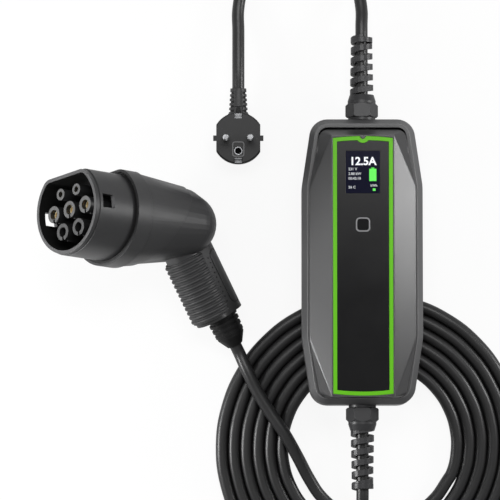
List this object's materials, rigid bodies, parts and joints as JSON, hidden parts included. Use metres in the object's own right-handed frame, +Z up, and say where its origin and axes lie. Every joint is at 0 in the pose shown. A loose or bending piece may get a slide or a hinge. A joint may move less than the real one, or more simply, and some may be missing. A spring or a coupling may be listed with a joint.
{
  "type": "portable electric vehicle charger",
  "caption": "Portable car charging set: control box with display and button, short mains lead with angled plug, coiled cord and vehicle connector on a ribbed handle.",
  "frame": {"origin": "centre of the underside of the box that bounds the control box, connector and glands, on the table plane", "axes": "+X to the right of the lying set with the display the right way up, +Y along the control box towards the mains lead, +Z up from the table"},
  "size_m": [0.3833, 0.5192, 0.1332],
  "materials": {
    "shell_plastic": "satin",
    "cover_plastic": "satin",
    "rubber_seal": "matte",
    "green_trim": "gloss",
    "panel_gloss": "gloss",
    "display_glass": "gloss",
    "display_metal": "satin",
    "circuit_board": "satin",
    "button_ring": "satin",
    "button_cap": "gloss",
    "switch_plastic": "satin",
    "relay_plastic": "gloss",
    "winding_tape": "satin",
    "capacitor_sleeve": "gloss",
    "terminal_plastic": "satin",
    "steel": "satin",
    "gland_plastic": "satin",
    "connector_plastic": "satin",
    "carrier_plastic": "satin",
    "contact_brass": "satin",
    "handle_plastic": "satin",
    "grip_rubber": "matte",
    "clamp_plastic": "satin",
    "guard_rubber": "matte",
    "plug_plastic": "satin",
    "plated_pin": "polished",
    "cord_rubber": "satin"
  },
  "bodies": {
    "set": {"rear_shell": "shell_plastic", "front_cover": "cover_plastic", "cover_seal": "rubber_seal", "panel_trim": "green_trim", "front_panel": "panel_gloss", "display_window": "display_glass", "display_module": "display_metal", "display_board": "circuit_board", "button_ring": "button_ring", "button_switch": "switch_plastic", "control_board": "circuit_board", "relays": "relay_plastic", "current_transformer": "switch_plastic", "supply_transformer": "winding_tape", "capacitors": "capacitor_sleeve", "terminal_blocks": "terminal_plastic", "board_screws": "steel", "cover_screws": "steel", "inlet_gland": "gland_plastic", "inlet_locknut": "gland_plastic", "inlet_seal": "rubber_seal", "inlet_nut": "gland_plastic", "outlet_gland": "gland_plastic", "outlet_locknut": "gland_plastic", "outlet_seal": "rubber_seal", "outlet_nut": "gland_plastic", "shroud": "connector_plastic", "shroud_seal": "rubber_seal", "contact_carrier": "carrier_plastic", "power_sleeves": "carrier_plastic", "spare_sleeves": "carrier_plastic", "signal_sleeves": "carrier_plastic", "line_contact": "contact_brass", "neutral_contact": "contact_brass", "earth_contact": "contact_brass", "signal_contacts": "contact_brass", "head_housing": "connector_plastic", "grip_handle": "handle_plastic", "grip_sleeve": "grip_rubber", "cord_clamp": "clamp_plastic", "handle_guard": "guard_rubber", "plug_body": "plug_plastic", "live_pin": "plated_pin", "neutral_pin": "plated_pin", "earth_clips": "plated_pin", "earth_socket": "plated_pin", "mains_cord": "cord_rubber", "output_lead": "cord_rubber", "output_coil": "cord_rubber", "output_tail": "cord_rubber"},
    "button": {"button_cap": "button_cap"}
  },
  "joints": [
    {"name": "button_press", "type": "slide", "parent": "set", "child": "button", "axis": [0, -0.0758, -0.9971], "range_m": [0, 0.0008], "stiffness_N_per_m": 500}
  ]
}
